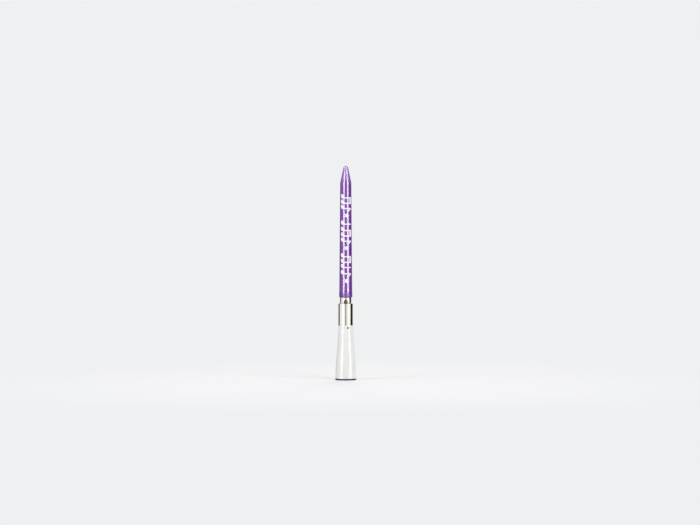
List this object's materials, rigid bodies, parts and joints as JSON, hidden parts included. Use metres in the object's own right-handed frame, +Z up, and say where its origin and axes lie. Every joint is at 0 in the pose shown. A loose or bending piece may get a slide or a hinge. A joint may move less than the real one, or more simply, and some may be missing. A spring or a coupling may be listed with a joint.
{
  "type": "musical birthday candle",
  "caption": "Slim tapered wax candle in a chromed ferrule on a flared white base; the base lifts off a core with button cells, melody board, light sensor and buzzer.",
  "frame": {"origin": "centre of the flat foot, on the surface that the candle stands on", "axes": "+Z up along the candle's axis, towards the wick; -Y is the front, with the ferrule's seam"},
  "size_m": [0.0128, 0.0128, 0.1367],
  "materials": {
    "purple_wax": "glossy dyed candle wax with a white print",
    "cotton_wick": "braided waxed cotton",
    "clear_fibre": "clear plastic optical fibre",
    "chromed_sheet": "bright chromed sheet",
    "black_plastic": "black moulded plastic",
    "socket_plastic": "dark grey moulded plastic",
    "white_plastic": "glossy white moulded plastic",
    "buzzer_brass": "rolled brass",
    "buzzer_ceramic": "fired ceramic with a silver face",
    "natural_plastic": "uncoloured moulded plastic",
    "cell_steel": "nickel plated steel",
    "cell_seal": "green sealing ring",
    "contact_strip": "nickel plated strip",
    "board_laminate": "green solder mask",
    "chip_epoxy": "black epoxy drop",
    "component_black": "black moulded component",
    "component_tan": "tan ceramic component",
    "sensor_resin": "clear moulded resin",
    "tinned_wire": "tinned wire",
    "red_insulation": "red wire insulation",
    "black_insulation": "black wire insulation",
    "solder": "bright solder"
  },
  "bodies": {
    "core": {"bottom_cap": "black_plastic", "buzzer_plate": "buzzer_brass", "buzzer_ceramic": "buzzer_ceramic", "core_frame": "natural_plastic", "lower_cell": "cell_steel", "upper_cell": "cell_steel", "cell_seals": "cell_seal", "positive_contact": "contact_strip", "negative_contact": "contact_strip", "circuit_board": "board_laminate", "melody_chip": "chip_epoxy", "driver_transistor": "component_black", "chip_resistor": "component_black", "chip_capacitor": "component_tan", "light_sensor": "sensor_resin", "sensor_legs": "tinned_wire", "buzzer_lead_red": "red_insulation", "buzzer_lead_black": "black_insulation", "solder_joints": "solder"},
    "base": {"base_shell": "white_plastic", "ferrule": "chromed_sheet", "candle_socket": "socket_plastic"},
    "candle": {"candle_wax": "purple_wax", "wick": "cotton_wick", "optical_fibre": "clear_fibre"}
  },
  "joints": [
    {"name": "base_lift", "type": "slide", "parent": "core", "child": "base", "axis": [0, 0, 1], "range_m": [0, 0.038]},
    {"name": "candle_lift", "type": "slide", "parent": "base", "child": "candle", "axis": [0, 0, 1], "range_m": [0, 0.02]}
  ]
}
